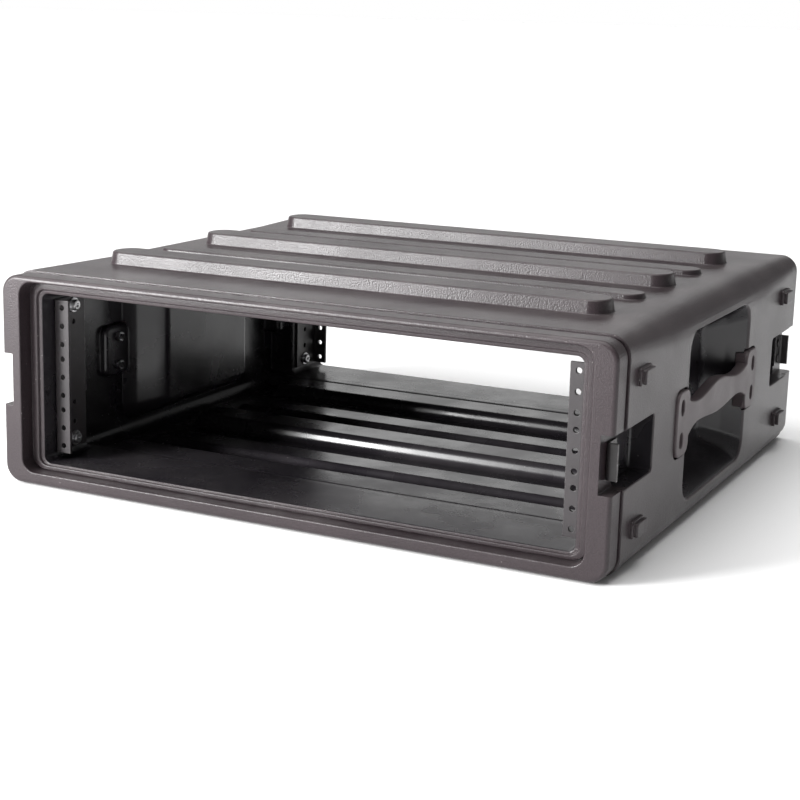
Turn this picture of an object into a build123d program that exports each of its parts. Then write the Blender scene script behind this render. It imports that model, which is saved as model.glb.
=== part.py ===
from build123d import *
import os

os.makedirs("parts", exist_ok=True)

# A three-unit rotomoulded rack case for 19 inch equipment, open at the front and the rear.
# Millimetres. X is the width, -Y the front, +Z up. The origin is the middle of the underside.

# Case body
body_width = 548.0
body_depth = 522.0
body_height = 182.5
skin = 5.0
top_edge_radius = 28.0
bottom_edge_radius = 17.0
rim_edge_radius = 17.0
taper_length = 105.0

# Rim around each open end
rim_depth = 20.0
rim_inset = 1.5
rim_front_radius = 5.0
rim_groove_width = 2.0
rim_groove_depth = 2.0

# Opening: an outer ring step, then the throat that holds the rails
ring_width = 508.0
ring_bottom = 12.0
ring_top = 176.0
ring_depth = 15.0
ring_corner = 12.0
throat_width = 482.8
throat_bottom = 18.0
throat_top = 165.0
throat_corner = 6.0

# Room between the two thick ends
room_half_length = 172.0
side_room_half_length = 185.0
room_top_radius = 23.0
room_bottom_radius = 12.0

# Rack mounting pattern, three units high
rack_axis_z = 91.0
rack_hole_x = 232.55
unit_height = 44.45
first_hole = 6.35
hole_steps = (0.0, 15.875, 31.75)
rack_hole_radius = 2.4

# Rails
rail_setback = 30.0
rail_thickness = 2.5
rail_flange_inner_x = 225.8
rail_side_depth = 41.0
rail_bend_radius = 3.0
rail_screw_y = 206.0
rail_screw_z = 59.0
rail_spare_z = (-44.45, -27.0, 44.45)
rail_screw_radius = 2.4
screw_clearance = 0.2
rail_washer_radius = 6.5
rail_washer_thickness = 1.2
pan_head_radius = 4.7
pan_head_height = 3.2
driver_radius = 1.5
driver_depth = 1.8

# Moulded-in threaded inserts behind the rail screws, with the square bumps outside them
insert_radius = 5.0
insert_flange_radius = 8.0
insert_flange_thickness = 1.5
insert_length = 13.0
bump_reach = 6.0
bump_length = 26.0
bump_height = 14.0
bump_y = 207.0
bump_z = 58.0

# Sealed hollows in the double walls beside the rails
hollow_inner_x = 246.4
hollow_outer_x = 265.0
hollow_low = (24.0, 60.0)
hollow_high = (122.0, 158.5)
hollow_floor = (5.0, 13.0)
hollow_roof = (170.0, 177.5)
hollow_half_span = 235.0
hollow_near_y = 190.0
hollow_far_y = 238.0

# Latch recesses and keepers
latch_half_height = 22.5
notch_floor_x = 262.0
notch_reach = 32.0
well_floor_x = 255.0
well_near_y = 175.0
well_far_y = 233.0
well_corner = 4.0
keeper_height = 28.0
keeper_thickness = 2.0
keeper_lip_y = 249.0
keeper_lip_reach = 9.5
keeper_base_length = 19.0
keeper_rivet_y = 238.5
keeper_rivet_spacing = 15.0
rivet_radius = 2.0
rivet_head_radius = 4.0
rivet_head_height = 1.4
rivet_length = 12.0

# Handle pockets, cut in two stages
pocket_half_length = 88.0
pocket_half_height = 70.0
pocket_mid_x = 255.0
pocket_mid_half_length = 82.0
pocket_mid_half_height = 61.5
pocket_floor_x = 236.0
pocket_floor_half_length = 71.0
pocket_floor_half_height = 53.0
pocket_corner = 18.0
pocket_mid_corner = 15.0
pocket_floor_corner = 12.0

# Handles
handle_y = -3.5
handle_face_x = 276.0
plate_seat_x = 271.0
plate_inner_y = 85.0
plate_outer_y = 116.5
plate_half_height = 26.5
plate_corner = 9.0
plate_gap = 1.0
bar_back_x = 266.0
foot_back_x = 265.0
foot_length = 5.0
handle_screw_y = 104.0
handle_screw_z = 13.3
handle_screw_radius = 2.5
handle_head_radius = 4.2
handle_head_height = 2.4
handle_sink_radius = 4.6
handle_sink_depth = 2.6
pad_face_x = 262.0
pad_length = 38.0
pad_height = 42.0
handle_nut_width = 8.0
handle_nut_height = 4.0
handle_screw_tail = 2.0
# Height of the bar's upper and lower edges along its length, measured from the handle's middle
bar_upper = ((-88.0, 16.0), (-58.0, 11.8), (0.0, 18.6), (58.0, 11.8), (88.0, 16.0))
bar_lower = ((-88.0, -13.0), (-58.0, -6.2), (0.0, -9.6), (58.0, -6.2), (88.0, -13.0))
foot_half_height = 24.0
foot_play = 0.5

# Stacking ribs on the roof, and the grooves under the floor that take another case's ribs
high_rib_height = 11.0
low_rib_height = 4.5
high_rib_y = (-155.0, 0.0, 155.0)
low_rib_y = (-78.0, 78.0)
rib_half_span = 223.0
high_rib_base = 36.0
high_rib_crown = 24.0
low_rib_base = 28.0
low_rib_crown = 20.0
groove_play = 1.5
floor_ridge_half_span = 232.0

half_width = body_width / 2
half_depth = body_depth / 2
rim_start = half_depth - rim_depth
rail_front_y = half_depth - rail_setback
throat_half_width = throat_width / 2
well_block_x = (well_floor_x - skin + half_width - skin) / 2
well_block_width = 2 * (half_width - skin - well_block_x) + 2
well_middle = (well_near_y + well_far_y) / 2
well_length = well_far_y - well_near_y
foot_y = plate_inner_y + foot_length / 2
foot_slot_length = 2 * foot_length
foot_slot_y = plate_inner_y + foot_length + foot_play - foot_slot_length / 2

hollow_side_x = (hollow_inner_x + hollow_outer_x) / 2
hollow_side_width = hollow_outer_x - hollow_inner_x
hollow_y = (hollow_near_y + hollow_far_y) / 2
hollow_length = hollow_far_y - hollow_near_y
plate_middle = (plate_inner_y + plate_outer_y) / 2
plate_length = plate_outer_y - plate_inner_y
wall_at_rail = hollow_inner_x - throat_half_width
corners = [(side, end) for side in (-1, 1) for end in (-1, 1)]


def eight_places(x, y, z, shift_y=0.0):
    """Return the points at plus and minus x, y and z, with z measured from the rack axis."""
    return [
        (side * x, shift_y + end * y, rack_axis_z + level * z)
        for side, end in corners
        for level in (-1, 1)
    ]


def outline(width, low, high, low_radius, high_radius):
    """Draw a rectangle from low to high on the current sketch, with its own corner radius at each end."""
    with BuildSketch(mode=Mode.PRIVATE) as drawn:
        with Locations((0, (low + high) / 2)):
            Rectangle(width, high - low)
        fillet(drawn.vertices().group_by(Axis.Y)[0], low_radius)
        fillet(drawn.vertices().group_by(Axis.Y)[-1], high_radius)
    add(drawn.sketch_local)


def body_outline(inset, high_radius):
    """Draw the case's end outline, moved inwards by inset."""
    outline(
        body_width - 2 * inset, inset, body_height - inset, bottom_edge_radius - inset, high_radius - inset
    )


def pocket_sketch(x, half_length, half_height, corner):
    """Return a handle pocket's outline at x, on a plane that faces along X."""
    with BuildSketch(Plane.YZ.offset(x)) as drawn:
        with Locations((0, rack_axis_z)):
            RectangleRounded(2 * half_length, 2 * half_height, corner)
    return drawn.sketch


def pocket_stages(grow):
    """Loft a handle pocket's two stages on the +X side, grown by the wall thickness where grow is set."""
    mouth = pocket_sketch(half_width, pocket_half_length + grow, pocket_half_height + grow, pocket_corner)
    middle = pocket_sketch(
        pocket_mid_x, pocket_mid_half_length + grow, pocket_mid_half_height + grow, pocket_mid_corner
    )
    floor = pocket_sketch(
        pocket_floor_x, pocket_floor_half_length + grow, pocket_floor_half_height + grow, pocket_floor_corner
    )
    loft([mouth, middle], ruled=True)
    loft([middle, floor], ruled=True)
    return mouth, floor


def rib_stage(y, base_z, half_span, base, crown, height):
    """Loft one rib along X, with drafted sides and ends and rounded corners in plan."""
    draft = (base - crown) / 2
    with BuildSketch(Plane.XY.offset(base_z)) as foot:
        with Locations((0, y)):
            RectangleRounded(2 * half_span, base, base * 0.35)
    with BuildSketch(Plane.XY.offset(base_z + height)) as top:
        with Locations((0, y)):
            RectangleRounded(2 * (half_span - draft), crown, crown * 0.35)
    loft([foot.sketch, top.sketch], ruled=True)


def rib_set(base_z, half_span, play, height_play):
    """Loft the five ribs, each grown by play on every side."""
    for y in high_rib_y:
        rib_stage(
            y, base_z, half_span, high_rib_base + 2 * play, high_rib_crown + 2 * play,
            high_rib_height + height_play,
        )
    for y in low_rib_y:
        rib_stage(
            y, base_z, half_span, low_rib_base + 2 * play, low_rib_crown + 2 * play,
            low_rib_height + height_play,
        )


# Solids that shape both the room inside and the recesses outside, made for the +X side
with BuildPart() as pocket_void:
    extrude(pocket_stages(0)[0], amount=skin)

with BuildPart() as pocket_block:
    extrude(pocket_stages(skin)[1], amount=-skin)

with BuildPart() as roof_ribs:
    rib_set(body_height, rib_half_span, 0, 0)

with BuildPart() as floor_grooves:
    rib_set(0, rib_half_span + groove_play, groove_play, groove_play)

with BuildPart() as floor_ridges:
    rib_set(skin / 2, floor_ridge_half_span, skin, groove_play + skin / 2)

# Case shell
with BuildPart() as case_shell:
    # Body, whose upper long edges widen from the rims inwards
    body_end = rim_start - rim_groove_width
    middle_end = body_end - taper_length
    with BuildSketch(Plane.XZ.offset(-middle_end)):
        body_outline(0, top_edge_radius)
    extrude(amount=2 * middle_end)
    for end in (-1, 1):
        with BuildSketch(Plane.XZ.offset(end * middle_end)):
            body_outline(0, top_edge_radius)
        with BuildSketch(Plane.XZ.offset(end * body_end)):
            body_outline(0, rim_edge_radius)
        loft(ruled=True)
        # Groove and rim
        with BuildSketch(Plane.XZ.offset(end * body_end)):
            body_outline(rim_inset + rim_groove_depth, rim_edge_radius)
        extrude(amount=end * rim_groove_width)
        with BuildSketch(Plane.XZ.offset(end * rim_start)):
            body_outline(rim_inset, rim_edge_radius)
        extrude(amount=end * rim_depth)
    fillet(faces().sort_by(Axis.Y)[0].edges(), rim_front_radius)
    fillet(faces().sort_by(Axis.Y)[-1].edges(), rim_front_radius)

    # Stacking ribs, and square bumps over the rail inserts
    add(roof_ribs.part)
    with Locations(*eight_places(half_width + bump_reach / 2 - 1, bump_y, bump_z)):
        Box(bump_reach + 2, bump_length, bump_height)

    # Room between the thick ends
    with BuildSketch(Plane.XZ.offset(-room_half_length)):
        outline(body_width - 2 * skin, skin, body_height - skin, room_bottom_radius, room_top_radius)
    extrude(amount=2 * room_half_length, mode=Mode.SUBTRACT)
    with BuildSketch(Plane.XZ.offset(-side_room_half_length)):
        outline(body_width - 2 * skin, throat_bottom, throat_top, room_bottom_radius, room_bottom_radius)
    extrude(amount=2 * side_room_half_length, mode=Mode.SUBTRACT)

    # Inner blocks behind the pockets and latch wells, screw pads and floor ridges
    add([pocket_block.part, mirror(pocket_block.part, about=Plane.YZ), floor_ridges.part])
    with Locations(*[(side * well_block_x, end * (well_near_y + skin), rack_axis_z) for side, end in corners]):
        Box(well_block_width, 4 * skin, 2 * (latch_half_height + skin))
    for side in (-1, 1):
        with BuildSketch(Plane.YZ.offset(side * pad_face_x)):
            with Locations((handle_y - handle_screw_y, rack_axis_z), (handle_y + handle_screw_y, rack_axis_z)):
                RectangleRounded(pad_length, pad_height, well_corner)
        extrude(amount=side * (half_width - skin / 2 - pad_face_x))

    # Throat from each face to the room, with the ring step at the face
    for end in (-1, 1):
        with BuildSketch(Plane.XZ.offset(end * half_depth)):
            outline(throat_width, throat_bottom, throat_top, throat_corner, throat_corner)
        extrude(amount=end * (room_half_length - half_depth), mode=Mode.SUBTRACT)
        with BuildSketch(Plane.XZ.offset(end * (half_depth - ring_depth))):
            outline(ring_width, ring_bottom, ring_top, ring_corner, ring_corner)
        extrude(amount=end * ring_depth, mode=Mode.SUBTRACT)

    # Grooves under the floor, and pockets in the sides
    add(
        [floor_grooves.part, pocket_void.part, mirror(pocket_void.part, about=Plane.YZ)],
        mode=Mode.SUBTRACT,
    )

    # Latch notches, open to the end face, the wells behind them, and the seats of the handle plates
    for side in (-1, 1):
        with BuildSketch(Plane.YZ.offset(side * notch_floor_x)):
            with Locations((-half_depth, rack_axis_z), (half_depth, rack_axis_z)):
                Rectangle(2 * notch_reach, 2 * latch_half_height)
        extrude(amount=side * 4 * skin, mode=Mode.SUBTRACT)
        with BuildSketch(Plane.YZ.offset(side * well_floor_x)):
            with Locations((-well_middle, rack_axis_z), (well_middle, rack_axis_z)):
                RectangleRounded(well_length, 2 * latch_half_height, well_corner)
        extrude(amount=side * 4 * skin, mode=Mode.SUBTRACT)
        with BuildSketch(Plane.YZ.offset(side * plate_seat_x)):
            with Locations((handle_y - plate_middle, rack_axis_z), (handle_y + plate_middle, rack_axis_z)):
                RectangleRounded(
                    plate_length + 2 * plate_gap, 2 * (plate_half_height + plate_gap), plate_corner
                )
        extrude(amount=side * skin, mode=Mode.SUBTRACT)
        with BuildSketch(Plane.YZ.offset(side * (foot_back_x - foot_play))):
            with Locations((handle_y - foot_slot_y, rack_axis_z), (handle_y + foot_slot_y, rack_axis_z)):
                Rectangle(foot_slot_length, 2 * (foot_half_height + foot_play))
        extrude(amount=side * 2 * skin, mode=Mode.SUBTRACT)

    # Sealed hollows of the double walls
    for low, high in (hollow_low, hollow_high):
        with Locations(*[(side * hollow_side_x, end * hollow_y, (low + high) / 2) for side, end in corners]):
            Box(hollow_side_width, hollow_length, high - low, mode=Mode.SUBTRACT)
    for low, high in (hollow_floor, hollow_roof):
        with Locations((0, -hollow_y, (low + high) / 2), (0, hollow_y, (low + high) / 2)):
            Box(2 * hollow_half_span, hollow_length, high - low, mode=Mode.SUBTRACT)

    # Holes for the rail inserts, the handle screws and the keeper rivets
    with Locations(*eight_places(throat_half_width + wall_at_rail / 2, rail_screw_y, rail_screw_z)):
        Cylinder(insert_radius, wall_at_rail + 1, rotation=(0, 90, 0), mode=Mode.SUBTRACT)
    with Locations(*eight_places(plate_seat_x, handle_screw_y, handle_screw_z, handle_y)):
        Cylinder(
            handle_screw_radius + screw_clearance, 4 * skin, rotation=(0, 90, 0), mode=Mode.SUBTRACT
        )
    with Locations(*eight_places(notch_floor_x, keeper_rivet_y, keeper_rivet_spacing / 2)):
        Cylinder(rivet_radius, 2 * rivet_length, rotation=(0, 90, 0), mode=Mode.SUBTRACT)

case_shell.part.label = "case_shell"
export_step(case_shell.part, "parts/case_shell.step")


def export_corner_copies(piece, node):
    """Write a piece made at the front right corner, and its three mirror copies at the other corners."""
    for side_name, mirror_side in (("right", False), ("left", True)):
        for end_name, mirror_end in (("front", False), ("rear", True)):
            copy = piece
            if mirror_side:
                copy = mirror(copy, about=Plane.YZ)
            if mirror_end:
                copy = mirror(copy, about=Plane.XZ)
            name = f"{end_name}_{side_name}_{node}"
            copy.label = name
            export_step(copy, f"parts/{name}.step")


def export_side_copies(piece, node):
    """Write a piece made on the right side, and its mirror copy on the left."""
    for name, copy in ((f"right_{node}", piece), (f"left_{node}", mirror(piece, about=Plane.YZ))):
        copy.label = name
        export_step(copy, f"parts/{name}.step")


# Rack rail: a steel angle with the threaded rack pattern in its front flange
rail_holes_z = [
    rack_axis_z + (unit - 1.5) * unit_height + first_hole + step
    for unit in range(3)
    for step in hole_steps
]
with BuildPart() as rail:
    with BuildSketch(Plane.XY.offset(rack_axis_z - 1.5 * unit_height)):
        with BuildLine():
            FilletPolyline(
                (rail_flange_inner_x, -rail_front_y),
                (throat_half_width, -rail_front_y),
                (throat_half_width, -rail_front_y + rail_side_depth),
                radius=rail_bend_radius,
            )
            offset(amount=-rail_thickness, side=Side.LEFT)
        make_face()
    extrude(amount=3 * unit_height)
    with BuildSketch(Plane.XZ.offset(rail_front_y)):
        with Locations(*[(rack_hole_x, z) for z in rail_holes_z]):
            Circle(rack_hole_radius)
    extrude(amount=-rail_thickness, mode=Mode.SUBTRACT)
    with BuildSketch(Plane.YZ.offset(throat_half_width)):
        with Locations(*[(-rail_screw_y, rack_axis_z + z) for z in (-rail_screw_z, rail_screw_z)]):
            Circle(rail_screw_radius + screw_clearance)
        with Locations(*[(-rail_screw_y, rack_axis_z + z) for z in rail_spare_z]):
            Circle(rack_hole_radius)
    extrude(amount=-rail_thickness, mode=Mode.SUBTRACT)
export_corner_copies(rail.part, "rail")

# Rail screws: pan heads with a square driver recess
rail_face_x = throat_half_width - rail_thickness
washer_face_x = rail_face_x - rail_washer_thickness
rail_screw_places = [(-rail_screw_y, rack_axis_z - rail_screw_z), (-rail_screw_y, rack_axis_z + rail_screw_z)]
with BuildPart() as rail_screws:
    with BuildSketch(Plane.YZ.offset(washer_face_x)):
        with Locations(*rail_screw_places):
            Circle(pan_head_radius)
    extrude(amount=-pan_head_height)
    fillet(faces().sort_by(Axis.X)[0:2].edges(), 1.2)
    with BuildSketch(Plane.YZ.offset(washer_face_x - pan_head_height)):
        with Locations(*rail_screw_places):
            Rectangle(2 * driver_radius, 2 * driver_radius)
    extrude(amount=driver_depth, mode=Mode.SUBTRACT)
    with BuildSketch(Plane.YZ.offset(washer_face_x)):
        with Locations(*rail_screw_places):
            Circle(rail_screw_radius)
    extrude(amount=insert_length)
export_corner_copies(rail_screws.part, "rail_screws")

with BuildPart() as rail_washers:
    with BuildSketch(Plane.YZ.offset(washer_face_x)):
        with Locations(*rail_screw_places):
            Circle(rail_washer_radius)
            Circle(rail_screw_radius + screw_clearance, mode=Mode.SUBTRACT)
    extrude(amount=rail_washer_thickness)
export_corner_copies(rail_washers.part, "rail_washers")

with BuildPart() as rail_inserts:
    with BuildSketch(Plane.YZ.offset(throat_half_width)):
        with Locations(*rail_screw_places):
            Circle(insert_radius)
    extrude(amount=wall_at_rail)
    with BuildSketch(Plane.YZ.offset(hollow_inner_x)):
        with Locations(*rail_screw_places):
            Circle(insert_flange_radius)
    extrude(amount=insert_flange_thickness)
    with BuildSketch(Plane.YZ.offset(throat_half_width)):
        with Locations(*rail_screw_places):
            Circle(rail_screw_radius)
    extrude(amount=2 * insert_length, mode=Mode.SUBTRACT)
export_corner_copies(rail_inserts.part, "rail_inserts")

# Latch keeper: a base on the notch floor and a lip that the lid's latch hooks over
with BuildPart() as keeper:
    with BuildSketch(Plane.XY.offset(rack_axis_z - keeper_height / 2)):
        with BuildLine():
            FilletPolyline(
                (notch_floor_x, -keeper_lip_y + keeper_base_length),
                (notch_floor_x, -keeper_lip_y),
                (notch_floor_x + keeper_lip_reach, -keeper_lip_y),
                radius=2 * keeper_thickness,
            )
            offset(amount=keeper_thickness, side=Side.LEFT)
        make_face()
    extrude(amount=keeper_height)
    with BuildSketch(Plane.YZ.offset(notch_floor_x)):
        with Locations((-keeper_rivet_y, rack_axis_z)):
            with GridLocations(0, keeper_rivet_spacing, 1, 2):
                Circle(rivet_radius)
    extrude(amount=keeper_thickness, mode=Mode.SUBTRACT)
export_corner_copies(keeper.part, "latch_keeper")

with BuildPart() as keeper_rivets:
    with BuildSketch(Plane.YZ.offset(notch_floor_x + keeper_thickness)):
        with Locations((-keeper_rivet_y, rack_axis_z)):
            with GridLocations(0, keeper_rivet_spacing, 1, 2):
                Circle(rivet_head_radius)
    extrude(amount=rivet_head_height)
    with BuildSketch(Plane.YZ.offset(notch_floor_x + keeper_thickness)):
        with Locations((-keeper_rivet_y, rack_axis_z)):
            with GridLocations(0, keeper_rivet_spacing, 1, 2):
                Circle(rivet_radius)
    extrude(amount=-(rivet_length + keeper_thickness))
export_corner_copies(keeper_rivets.part, "keeper_rivets")

# Handle: a moulded bar with a waist at each end plate and a full grip in the middle
with BuildPart() as handle:
    with BuildSketch(Plane.YZ.offset(plate_seat_x)):
        with Locations((handle_y - plate_middle, rack_axis_z), (handle_y + plate_middle, rack_axis_z)):
            RectangleRounded(plate_length, 2 * plate_half_height, plate_corner)
    extrude(amount=handle_face_x - plate_seat_x)
    with BuildSketch(Plane.YZ.offset(bar_back_x)):
        with BuildLine():
            Spline(*[(handle_y + y, rack_axis_z + z) for y, z in bar_upper])
            Spline(*[(handle_y + y, rack_axis_z + z) for y, z in bar_lower])
            Line(
                (handle_y + bar_upper[0][0], rack_axis_z + bar_upper[0][1]),
                (handle_y + bar_lower[0][0], rack_axis_z + bar_lower[0][1]),
            )
            Line(
                (handle_y + bar_upper[-1][0], rack_axis_z + bar_upper[-1][1]),
                (handle_y + bar_lower[-1][0], rack_axis_z + bar_lower[-1][1]),
            )
        make_face()
    extrude(amount=handle_face_x - bar_back_x)
    with BuildSketch(Plane.YZ.offset(foot_back_x)):
        with Locations((handle_y - foot_y, rack_axis_z), (handle_y + foot_y, rack_axis_z)):
            Rectangle(foot_length, 2 * foot_half_height)
    extrude(amount=plate_seat_x - foot_back_x)
    with BuildSketch(Plane.YZ.offset(handle_face_x)):
        with Locations((handle_y, rack_axis_z)):
            with GridLocations(2 * handle_screw_y, 2 * handle_screw_z, 2, 2):
                Circle(handle_sink_radius)
    extrude(amount=-handle_sink_depth, mode=Mode.SUBTRACT)
    with BuildSketch(Plane.YZ.offset(handle_face_x)):
        with Locations((handle_y, rack_axis_z)):
            with GridLocations(2 * handle_screw_y, 2 * handle_screw_z, 2, 2):
                Circle(handle_screw_radius + screw_clearance)
    extrude(amount=-2 * skin, mode=Mode.SUBTRACT)
export_side_copies(handle.part, "handle")

# Handle screws, with pan heads sunk in the plates, and the nuts on the pads inside
sink_floor_x = handle_face_x - handle_sink_depth
with BuildPart() as handle_screws:
    with BuildSketch(Plane.YZ.offset(sink_floor_x)):
        with Locations((handle_y, rack_axis_z)):
            with GridLocations(2 * handle_screw_y, 2 * handle_screw_z, 2, 2):
                Circle(handle_head_radius)
                Rectangle(2 * driver_radius, 2 * driver_radius, mode=Mode.SUBTRACT)
    extrude(amount=handle_head_height)
    with BuildSketch(Plane.YZ.offset(sink_floor_x)):
        with Locations((handle_y, rack_axis_z)):
            with GridLocations(2 * handle_screw_y, 2 * handle_screw_z, 2, 2):
                Circle(handle_screw_radius)
    extrude(amount=-(sink_floor_x - pad_face_x + handle_nut_height + handle_screw_tail))
export_side_copies(handle_screws.part, "handle_screws")

with BuildPart() as handle_nuts:
    with BuildSketch(Plane.YZ.offset(pad_face_x)):
        with Locations((handle_y, rack_axis_z)):
            with GridLocations(2 * handle_screw_y, 2 * handle_screw_z, 2, 2):
                RegularPolygon(handle_nut_width / 2, 6, major_radius=False)
                Circle(handle_screw_radius, mode=Mode.SUBTRACT)
    extrude(amount=-handle_nut_height)
export_side_copies(handle_nuts.part, "handle_nuts")
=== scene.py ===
import math
from collections import namedtuple

import bmesh
import bpy
from bpy.props import FloatProperty, FloatVectorProperty, PointerProperty
from bpy.types import Operator, Panel, PropertyGroup
from mathutils import Euler, Matrix, Vector


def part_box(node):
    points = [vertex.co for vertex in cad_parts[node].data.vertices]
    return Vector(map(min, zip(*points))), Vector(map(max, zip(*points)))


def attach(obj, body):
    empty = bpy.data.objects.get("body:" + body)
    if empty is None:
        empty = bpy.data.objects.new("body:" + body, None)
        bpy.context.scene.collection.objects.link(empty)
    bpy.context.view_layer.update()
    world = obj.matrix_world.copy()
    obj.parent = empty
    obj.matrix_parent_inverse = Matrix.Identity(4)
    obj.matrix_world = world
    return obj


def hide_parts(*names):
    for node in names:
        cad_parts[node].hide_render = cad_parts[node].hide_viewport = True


bl_info = {
    "name": "Rack Case",
    "version": (1, 0, 0),
    "blender": (4, 5, 0),
    "location": "3D View > Sidebar > Rack Case",
    "description": "Builds a three-unit rotomoulded equipment rack case around its packed frame",
    "category": "Object",
}

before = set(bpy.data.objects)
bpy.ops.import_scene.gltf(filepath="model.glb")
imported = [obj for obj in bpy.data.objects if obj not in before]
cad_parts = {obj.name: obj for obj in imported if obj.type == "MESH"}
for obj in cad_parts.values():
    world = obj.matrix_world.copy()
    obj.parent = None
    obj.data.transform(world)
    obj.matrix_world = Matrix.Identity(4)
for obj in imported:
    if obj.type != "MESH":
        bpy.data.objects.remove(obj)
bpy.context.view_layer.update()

# Corners and sides of the case, as the frame's node names give them
SIDES = ("right", "left")
CORNERS = [f"{end}_{side}" for end in ("front", "rear") for side in SIDES]

shell_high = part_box("case_shell")[1]
rail_low, rail_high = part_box("front_right_rail")
keeper_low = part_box("front_right_latch_keeper")[0]
handle_low, handle_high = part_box("right_handle")
handle_screws_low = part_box("right_handle_screws")[0]
rack_axis_z = (rail_low.z + rail_high.z) / 2
handle_middle_y = (handle_low.y + handle_high.y) / 2

# A flare starts this far beyond the surface that it runs out onto, so that the two never coincide
CLEAR = 0.00003
# The corners of a round, drawn as a rounded square, stop this far short of meeting
SHORT = 0.0001


def length(name, description, default):
    """Declare a size in metres."""
    return FloatProperty(name=name, description=description, default=default, unit="LENGTH", precision=5)


def colour(name, description, default):
    """Declare a linear surface colour."""
    return FloatVectorProperty(
        name=name, description=description, default=default, subtype="COLOR", size=3, min=0.0, max=1.0
    )


class ShellSizes(PropertyGroup):
    """Sizes of the moulded shell."""

    wall: length("Wall", "Thickness of the moulded wall", 0.005)
    bump_reach: length("Bump reach", "How far the insert bumps stand out from the sides", 0.006)
    rib_height: length("Tall rib height", "Height of the three tall roof ribs", 0.011)
    low_rib_height: length("Low rib height", "Height of the two low roof ribs", 0.0045)
    top_round: length("Roof edge radius", "Radius of the roof's long edges", 0.028)
    bottom_round: length("Floor edge radius", "Radius of the floor's long edges", 0.017)
    rim_edge: length("Rim corner radius", "Radius of the rim's corners seen from the end", 0.017)
    taper: length("Taper", "Length over which the roof edge widens behind the rim", 0.105)
    rim_depth: length("Rim depth", "Depth of the rim around each open end", 0.020)
    rim_inset: length("Rim inset", "How far the rim lies inside the body's outline", 0.0015)
    rim_round: length("Rim front radius", "Rounding between the rim's side and its face", 0.0035)
    groove_width: length("Groove width", "Width of the groove behind the rim", 0.0026)
    groove_depth: length("Groove depth", "Depth of the groove below the rim", 0.0030)
    ring_half_width: length("Ring half width", "Half the width of the step inside the face", 0.254)
    ring_bottom: length("Ring bottom", "Height of the step's lower edge", 0.012)
    ring_top: length("Ring top", "Height of the step's upper edge", 0.176)
    ring_depth: length("Ring depth", "Depth of the step behind the face", 0.015)
    ring_corner: length("Ring corner", "Corner radius of the step", 0.012)
    throat_bottom: length("Throat bottom", "Height of the throat's floor", 0.018)
    throat_top: length("Throat top", "Height of the throat's ceiling", 0.165)
    throat_corner: length("Throat corner", "Corner radius of the throat", 0.006)
    tongue_height: length("Tongue height", "Height of the sealing tongue on the step", 0.0024)
    room_end: length("Room half length", "Distance from the middle to the room's end walls", 0.172)
    side_room_end: length("Side room half length", "The same beside the throat", 0.185)
    room_top_round: length("Room top radius", "Radius of the room's upper edges", 0.023)
    room_bottom_round: length("Room bottom radius", "Radius of the room's lower edges", 0.012)
    rib_half_span: length("Rib half span", "Half the length of a roof rib at its base", 0.230)
    rib_pitch: length("Rib pitch", "Distance between two tall ribs", 0.155)
    rib_base: length("Tall rib base", "Width of a tall rib at its foot", 0.036)
    rib_crown: length("Tall rib crown", "Width of a tall rib at its top", 0.0325)
    low_rib_base: length("Low rib base", "Width of a low rib at its foot", 0.028)
    low_rib_crown: length("Low rib crown", "Width of a low rib at its top", 0.026)
    groove_play: length("Groove play", "Play of another case's ribs in the grooves underneath", 0.0015)
    ridge_crown: length("Tall ridge crown", "Width of a tall ridge at its top", 0.040)
    low_ridge_crown: length("Low ridge crown", "Width of a low ridge at its top", 0.033)


class RecessSizes(PropertyGroup):
    """Sizes of the pockets, wells and bumps in the shell's sides."""

    pocket_half_length: length("Pocket half length", "Half the length of the handle pocket's mouth", 0.088)
    pocket_half_height: length("Pocket half height", "Half the height of the handle pocket's mouth", 0.070)
    pocket_corner: length("Pocket corner", "Corner radius of the pocket's mouth", 0.018)
    pocket_mid_x: length("Pocket shoulder", "Where the pocket's walls change their slope", 0.255)
    pocket_floor_x: length("Pocket floor", "Where the pocket's floor lies", 0.236)
    well_floor_x: length("Well floor", "Where the floor of a latch well lies", 0.255)
    well_near_y: length("Well near end", "Inner end of a latch well", 0.175)
    well_far_y: length("Well far end", "Outer end of a latch well", 0.233)
    latch_half_height: length("Latch half height", "Half the height of the latch wells and notches", 0.0225)
    notch_reach: length("Notch reach", "How far a latch notch reaches back from the face", 0.032)
    bump_y: length("Bump place", "Distance of the insert bumps from the middle", 0.207)
    bump_level: length("Bump level", "Distance of the insert bumps from the rack axis", 0.058)
    bump_length: length("Bump length", "Length of an insert bump", 0.026)
    bump_height: length("Bump height", "Height of an insert bump", 0.014)
    insert_y: length("Insert place", "Distance of the rail inserts from the middle", 0.206)
    insert_level: length("Insert level", "Distance of the rail inserts from the rack axis", 0.059)
    insert_radius: length("Insert radius", "Radius of the rail inserts", 0.005)
    pocket_mouth_draft: length("Pocket mouth draft", "How much the pocket narrows to its shoulder", 0.006)
    pocket_floor_draft: length("Pocket floor draft", "How much it narrows from shoulder to floor", 0.011)
    pocket_height_draft: length("Pocket height draft", "How much each stage closes up and down", 0.0085)
    plinth_height: length("Plinth height", "How far a bump's plinth stands out", 0.0028)
    bump_step: length("Bump step", "How far a bump's block is drawn in from its plinth", 0.0014)
    pad_x: length("Pad face", "Where the inner faces of the screw pads lie", 0.262)
    pad_half_length: length("Pad half length", "Half the length of a screw pad", 0.019)
    pad_half_height: length("Pad half height", "Half the height of a screw pad", 0.024)


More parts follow.
